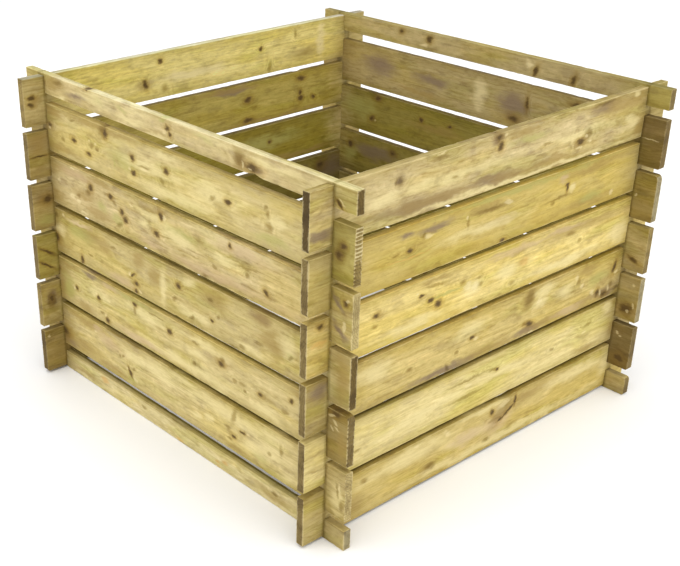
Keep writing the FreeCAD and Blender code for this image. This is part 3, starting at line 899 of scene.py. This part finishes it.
    def lay_knots(self):
        """Knots and splinters, with the fibres and specks that lie over all."""
        blur = self.off_middle(self.fleck, 1.1) + self.off_middle(self.speckle, 0.6)
        dark = self.dark_knots + blur
        self.glaze_where(dark, 2.6, 1.0, 0.75, AMBER)
        self.glaze_where(self.soft_knots + blur, 1.6, 0.3, 0.9, SOFT_KNOT)
        self.cover(self.fade(dark, 1.5, 0.65) * 0.9, KNOT)
        self.cover(self.fade(dark, 1.0, 0.3) * 0.85, KNOT_HEART)
        if "light" in self.marks:
            light = self.nearest("light", self.flat)
            self.cover(self.fade(light + blur, 1.2, 0.4) * 0.5, SPLINTER_AND_HIGHLIGHT)
        self.glaze_where(self.fibre, 0.42, 0.72, 0.3, STREAK)
        self.glaze_where(self.speckle, 0.58, 0.78, 0.5, SPECK)

    def lay_light_and_shade(self):
        """Painted shade at the crossings, underneath and low down inside, and painted light and shade on the tops
        and the insides.
        """
        label, half_height = self.board.label, self.board.half_height
        # painted shade along the line where the crossing board meets this one
        from_crossing = abs(self.from_end - CROSSING) + self.off_middle(self.mottle, 8)
        self.glaze_where(from_crossing, 7, 1, 0.7, CROSSING_SHADE)
        # painted shade on the underside of each board, in from the arris
        underneath = self.outermost(0 - self.up, half_height, *TOP_BAND)
        off_the_arris = self.fade(self.from_face + self.off_middle(self.mottle, 3), 1.0, 3.5)
        self.glaze(underneath * off_the_arris * 0.8, UNDERSIDE_SHADE)

        # painted light and shade on the top faces: RIMS on the highest boards, and the ledge tints where the gaps
        # show the others
        on_top = self.outermost(self.up, half_height, *TOP_BAND) * 0.9
        if label not in RIMS:
            on_top = on_top * self.fade(self.from_end, CROSSING - 10, CROSSING + 14)
        self.glaze(on_top, RIMS.get(label) or LEDGE_LIGHT_AND_SHADE.get(label, GAP_SHADE))

        # painted shade: the insides darker low down, where less light reaches
        above_inside_shade = self.up + self.off_middle(self.cloud, 100) + (self.board.middle.z - INSIDE_SHADE_HEIGHT)
        self.glaze(self.inside * self.fade(above_inside_shade, 80, -80) * 0.6, LOW_INSIDE_SHADE)
        # painted light on the insides of these boards
        if label in LIT_INSIDE:
            self.glaze(self.inside, PALER_WOOD_AND_LIGHT)

    def lay_sawn_ends(self):
        """Sawn ends drink the treatment and show the rings end on; a torn end's teeth get a painted highlight."""
        label = self.board.label
        blotches = self.fade(self.mottle, 0.42, 0.66) * 0.6
        end = self.mix(blotches, SAWN_ENDS.get(label, END_GRAIN), END_GRAIN_DARK, "MULTIPLY")
        end = self.mix(self.latewood * 0.35, end, END_GRAIN_DARK, "MULTIPLY")
        end = self.mix(self.fade(self.speckle, 0.45, 0.72) * 0.5, end, SPECK, "MULTIPLY")
        # painted highlight on the ridges of the torn end's teeth
        if label == COMBED_END:
            teeth = self.wave(self.up / TORN_ENDS[label][2] + self.off_middle(self.mottle, 1.2))
            teeth_highlight = self.fade(teeth + (self.speckle - 0.5), -0.4, 0.7)
            upper_half = self.fade(self.up + self.off_middle(self.mottle, 30), -14, 0)
            end = self.mix(self.fade(self.along, 0, 10) * upper_half * teeth_highlight * 0.6, end, SPLINTER_AND_HIGHLIGHT)
        sawn = self.node("ShaderNodeAttribute", {"attribute_name": SAWN_FACES}, output="Fac")
        self.cover(sawn, end)

    def lay_wear(self):
        """Arrises painted pale, partly wear and partly painted highlight, and darker along the upper outer one of a
        lower board, partly soak and partly painted shade.
        """
        label, half_height, half_thick = self.board.label, self.board.half_height, self.board.half_thick
        nearer = self.smaller(self.from_edge, self.from_face)
        further = self.larger(self.from_edge, self.from_face)
        from_arris = self.larger(nearer, self.smaller(further, self.from_end))
        # painted highlight along the arrises, stronger on the front and right walls; partly wear
        arris_highlight = 0.4 if label.startswith(("front", "right")) else 0.15
        self.cover(self.fade(from_arris + self.ragged(8, 6), 2.6, 0.4) * arris_highlight, WEAR_AND_HIGHLIGHT)
        if label not in RIMS:
            # darker along the upper outer arris: partly soak, partly painted shade under the board above
            crest = self.outermost(self.up, half_height, *ARRIS_BAND)
            outer = self.outermost(0 - self.through, half_thick, *ARRIS_BAND)
            self.glaze(crest * outer * 0.6, EDGE_SOAK_AND_SHADE)

    def dry_surface(self):
        """Closes the finish: dry and matt, with the fibres raised and the knots sunk."""
        sunk = self.fade(self.dark_knots, 0.95, 0.1) * 0.5
        height = self.fibre * 0.5 + self.streak * 0.6 + self.speckle * 0.35 - sunk
        normal = self.node(
            "ShaderNodeBump", sockets={"Strength": 1.0, "Distance": RELIEF * MM, "Height": height}
        )
        return self.close({
            "Base Color": self.wood, "Roughness": 0.62 + self.fibre * 0.16, "Normal": normal,
            "Specular IOR Level": 0.25,
        })


def treated_pine(board):
    """A board's own material."""
    pine = TreatedPine(board)
    pine.lay_grain()
    pine.lay_stains()
    pine.lay_knots()
    pine.lay_light_and_shade()
    pine.lay_sawn_ends()
    pine.lay_wear()
    return pine.dry_surface()


# Board shapes. Sizes are in mm.

SLICE_UP = 3.6
SLICE_THROUGH = 4.5
SLICE_ALONG = {"tongue": 3.5, "middle": 12.0}
TONGUE_LONGEST = 60.0
TOOTH_SLICE = 1.75
MERGE = 0.001
SAME_PLACE = 0.01        # how near two stations along a board are the same one
ARRIS_REACH = 3          # how far from an edge the rounding of its arris may reach
SAWN_FACES = "sawn_across"
SAWN_FACING = 0.7        # how squarely a sawn face faces along the board
FLAT_BELOW = math.radians(1)
SMOOTH_BELOW = math.radians(28)

# Carving, which only goes inwards
EDGE_ZONE = 14           # how much of a face moves with its edge
ARRIS_ZONE = 5
END_ZONE = 10
WAVE_LENGTH = 130
WAVE_DEPTH = 0.7
NICK_SPACING = (9, 6)
NICK_RARITY = 0.25
NICK_DEPTH = 2.2
NICK_DEPTH_THROUGH = 1.2
RAGGED_SPACING = (5, 3.5)
RAGGED_DEPTH = 0.9
TEAR_SPACING = (14, 22)
EASED_CORNER = 2.0

# How far apart in the noise a board's two edges, or its two ends, lie
WAVES_APART = 7
NICKS_APART = 31
ENDS_APART = 17

# Torn ends: which end, how deep and the height of a tooth
TORN_ENDS = {
    "front_5": (1, 3.2, 7.0),
    "front_4": (1, 1.8, 5.0),
    "front_2": (1, 2.4, 9.0),
    "front_1": (1, 2.6, 6.0),
}

# Broken corners: which end, upper or lower edge, and the radius
BROKEN_CORNERS = {
    "front_2": ((1, 1, 13),),
    "front_4": ((1, -1, 5),),
    "back_4": ((-1, 1, 12), (-1, -1, 5)),
    "back_5": ((-1, -1, 7),),
    "back_base": ((-1, 1, 9), (-1, -1, 6)),
    "back_1": ((-1, -1, 6),),
    "right_5": ((-1, -1, 9),),
    "left_1": ((1, -1, 7),),
}
EVERY_CORNER = [(end, edge, EASED_CORNER) for end in (-1, 1) for edge in (-1, 1)]

# Chips out of an edge: middle along it, upper or lower edge, half length and depth
CHIPS = {
    "front_top": ((250, -1, 16, 4.5), (-269, 1, 8, 2.5)),
    "front_5": ((-214, 1, 8, 2.0),),
    "right_1": ((70, 1, 22, 3.0),),
    "right_6": ((-38, 1, 10, 1.5),),
    "left_5": ((-283, 1, 14, 3.0),),
}


def slice_at(shape, axis, level, within=None):
    """Cuts the faces along a plane, or only those whose points are all within."""
    point, normal = Vector(), Vector()
    point[axis], normal[axis] = level, 1
    verts = [vert for vert in shape.verts if within is None or within(vert.co)]
    chosen = set(verts)
    edges = [edge for edge in shape.edges if chosen.issuperset(edge.verts)]
    faces = [face for face in shape.faces if chosen.issuperset(face.verts)]
    bmesh.ops.bisect_plane(
        shape, geom=verts + edges + faces, dist=MERGE, plane_co=point, plane_no=normal
    )


def slice_evenly(shape, axis, half, thickness):
    """Cuts a board all over into even slices of about this thickness."""
    count = round(2 * half / thickness)
    for number in range(1, count):
        slice_at(shape, axis, -half + 2 * half * number / count)


def cut_into_cells(shape, board):
    """Slices the board's copied mesh so that it is fine enough to carve."""
    stations = sorted({round(vert.co.x, 2) for vert in shape.verts})
    floors = sorted({round(vert.co.z, 2) for vert in shape.verts})
    for station in stations[1:-1]:
        slice_at(shape, 0, station)
    slice_evenly(shape, 2, board.half_height, SLICE_UP)
    for floor in floors:
        if abs(floor) < board.half_height - ARRIS_REACH:
            slice_at(shape, 2, floor)
    slice_evenly(shape, 1, board.half_thick, SLICE_THROUGH)
    if board.label in TORN_ENDS:
        end = TORN_ENDS[board.label][0]
        for row in range(1, round(2 * board.half_height / TOOTH_SLICE)):
            level = -board.half_height + TOOTH_SLICE * row
            slice_at(shape, 2, level, lambda place: place.x * end > stations[-2] - MERGE)

    for start, end in zip(stations, stations[1:]):
        span = end - start
        cell = SLICE_ALONG["tongue" if span < TONGUE_LONGEST else "middle"]
        spanning = [
            edge for edge in shape.edges
            if abs(min(vert.co.x for vert in edge.verts) - start) < SAME_PLACE
            and abs(max(vert.co.x for vert in edge.verts) - end) < SAME_PLACE
        ]
        bmesh.ops.subdivide_edges(
            shape, edges=spanning, cuts=max(1, round(span / cell) - 1), use_grid_fill=True
        )


def carve_edge(board, seed, vert):
    """Sinks a point of an edge: waves, nicks in the arrises and chips."""
    x, y, z = vert.co
    edge = 1 if z > 0 else -1
    edge_share = max(0.0, abs(z) - board.half_height + EDGE_ZONE) / EDGE_ZONE
    arris_share = edge_share * max(0.0, abs(y) - board.half_thick + ARRIS_ZONE) / ARRIS_ZONE

    wave = 0.5 + 0.5 * noise.noise(Vector((x / WAVE_LENGTH, edge * WAVES_APART, 0)) + seed)
    nick_place = Vector((x / NICK_SPACING[0], y / NICK_SPACING[1], edge * NICKS_APART))
    nick = max(0.0, noise.noise(nick_place + seed) - NICK_RARITY)
    sunk = edge_share * wave * WAVE_DEPTH + arris_share * nick * NICK_DEPTH
    for middle, chip_edge, half_length, depth in CHIPS.get(board.label, ()):
        if chip_edge == edge and abs(x - middle) < half_length:
            hollow = 1 - ((x - middle) / half_length) ** 2
            sunk += depth * hollow * edge_share ** 2
    vert.co.z -= edge * sunk
    vert.co.y -= math.copysign(arris_share * nick * NICK_DEPTH_THROUGH, y)


def carve_end(board, seed, vert, place):
    """Sinks a point near an end, which is rough from the saw, and torn into teeth on some boards."""
    x, y, z = place
    from_end = board.half_length - abs(x)
    if from_end >= END_ZONE:
        return
    end = 1 if x > 0 else -1
    torn_end, torn_depth, tooth = TORN_ENDS.get(board.label, (0, 0, 1))
    rough_place = Vector((y / RAGGED_SPACING[0], z / RAGGED_SPACING[1], end * ENDS_APART))
    ragged = abs(noise.noise(rough_place + seed)) * RAGGED_DEPTH
    if end == torn_end:
        bite = abs(2 * ((z / tooth) % 1) - 1)
        tear_place = Vector((y / TEAR_SPACING[0], z / TEAR_SPACING[1], 3))
        patchy = 0.6 + 0.8 * noise.noise(tear_place + seed)
        ragged += torn_depth * bite * max(0.0, patchy)
    vert.co.x -= end * ragged * (1 - from_end / END_ZONE)


def round_corners(board, vert):
    """Brings a point that is past a rounded corner back to it."""
    for end, edge, radius in (*EVERY_CORNER, *BROKEN_CORNERS.get(board.label, ())):
        past = Vector((
            end * vert.co.x - board.half_length + radius,
            edge * vert.co.z - board.half_height + radius,
        ))
        if min(past) > 0 and past.length > radius:
            past *= 1 - radius / past.length
            vert.co.x -= end * past.x
            vert.co.z -= edge * past.y


def carve(shape, board):
    """Moves the surface inwards, as the noise about the board's own seed says."""
    chance = random.Random(board.name + " shape")
    seed = Vector(chance.uniform(-900, 900) for _ in range(3))
    for vert in shape.verts:
        place = vert.co.copy()
        carve_edge(board, seed, vert)
        carve_end(board, seed, vert, place)
        round_corners(board, vert)


def mark_sawn_faces(shape):
    """Names the faces that cut across the grain: the ends and the slots' sides."""
    layer = shape.faces.layers.float.new(SAWN_FACES)
    for face in shape.faces:
        face[layer] = 1.0 if abs(face.normal.x) > SAWN_FACING else 0.0


def make_board(board):
    """A detailed copy of the board that stands for its CAD node."""
    shape = bmesh.new()
    shape.from_mesh(frame["nodes"][board.name].data)
    bmesh.ops.transform(shape, matrix=board.to_own_frame(), verts=shape.verts)
    bmesh.ops.remove_doubles(shape, verts=shape.verts, dist=MERGE)
    bmesh.ops.dissolve_limit(shape, angle_limit=FLAT_BELOW, verts=shape.verts, edges=shape.edges)
    cut_into_cells(shape, board)
    shape.normal_update()
    mark_sawn_faces(shape)
    carve(shape, board)
    shape.normal_update()
    for face in shape.faces:
        face.smooth = True
    for edge in shape.edges:
        edge.smooth = edge.calc_face_angle(0) < SMOOTH_BELOW
    bmesh.ops.transform(shape, matrix=board.to_own_frame().inverted(), verts=shape.verts)
    piece = add_piece(f"{board.name}_sawn", shape, treated_pine(board))
    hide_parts(board.name)
    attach(piece, board.body)


def add_piece(name, shape, material):
    """Makes an object of a finished shape, at the origin."""
    mesh = bpy.data.meshes.new(name)
    shape.to_mesh(mesh)
    shape.free()
    mesh.materials.append(material)
    return add_object(name, mesh)


def add_object(name, data):
    """Puts an object in the scene."""
    thing = bpy.data.objects.new(name, data)
    scene.collection.objects.link(thing)
    return thing


for board in boards:
    make_board(board)


# Stage

FLOOR_HALF_SIZE = 30
FLOOR_WHITE = (0.85, 0.85, 0.85, 1.0)
AROUND_STRENGTH = 0.5
OVERHEAD_STRENGTH = 2.4
OVERHEAD_SOFTNESS = math.radians(70)
AREA_LIGHT_SIZE = 2.0
MIDDLE_OF_BIN = Vector((0.0, 0.0, 0.35))

# Soft square lights: where they stand and their power in watts
AREA_LIGHTS = {
    "front_left": ((-1.0, -3.6, 1.5), 26),
    "right": ((3.6, 0.6, 1.5), 26),
    "left": ((-3.6, 0.6, 1.5), 14),
    "back": ((0.6, 3.6, 1.5), 14),
}


def add_floor():
    """A wide white floor, which is a stage and no part of the bin."""
    shape = bmesh.new()
    bmesh.ops.create_grid(shape, x_segments=1, y_segments=1, size=FLOOR_HALF_SIZE)
    white = Finish("floor_white").close({"Base Color": FLOOR_WHITE, "Roughness": 0.9})
    floor = add_piece("floor", shape, white)


def add_camera():
    """The photograph's view, found by fitting the bin's corners to it."""
    data = bpy.data.cameras.new("photograph_view")
    data.sensor_width = 36.0
    data.lens = 63.05
    data.shift_x = 0.1325
    data.shift_y = 0.0883
    data.clip_end = 200
    camera = add_object("photograph_view", data)
    camera.location = (1.7344, -1.7112, 1.3522)
    camera.rotation_euler = [math.radians(angle) for angle in (62.39, 0.17, 49.74)]
    scene.camera = camera


def add_light(name, data, towards):
    """A light that shines from a direction."""
    light = add_object(name, data)
    light.rotation_euler = Vector(towards).to_track_quat("Z", "Y").to_euler()
    return light


def add_studio():
    """White surroundings with an even light overhead and a large one before each wall."""
    world = bpy.data.worlds.new("studio")
    world.use_nodes = True
    background = world.node_tree.nodes["Background"]
    background.inputs["Color"].default_value = (1.0, 1.0, 1.0, 1.0)
    background.inputs["Strength"].default_value = AROUND_STRENGTH
    scene.world = world

    overhead = bpy.data.lights.new("overhead", "SUN")
    overhead.energy = OVERHEAD_STRENGTH
    overhead.angle = OVERHEAD_SOFTNESS
    add_light("overhead", overhead, (0.2, -0.2, 1.0))
    for name, (place, power) in AREA_LIGHTS.items():
        data = bpy.data.lights.new(name, "AREA")
        data.shape = "SQUARE"
        data.size = AREA_LIGHT_SIZE
        data.energy = power
        light = add_light(name, data, Vector(place) - MIDDLE_OF_BIN)
        light.location = place


scene.view_settings.view_transform = "Standard"
add_floor()
add_camera()
add_studio()
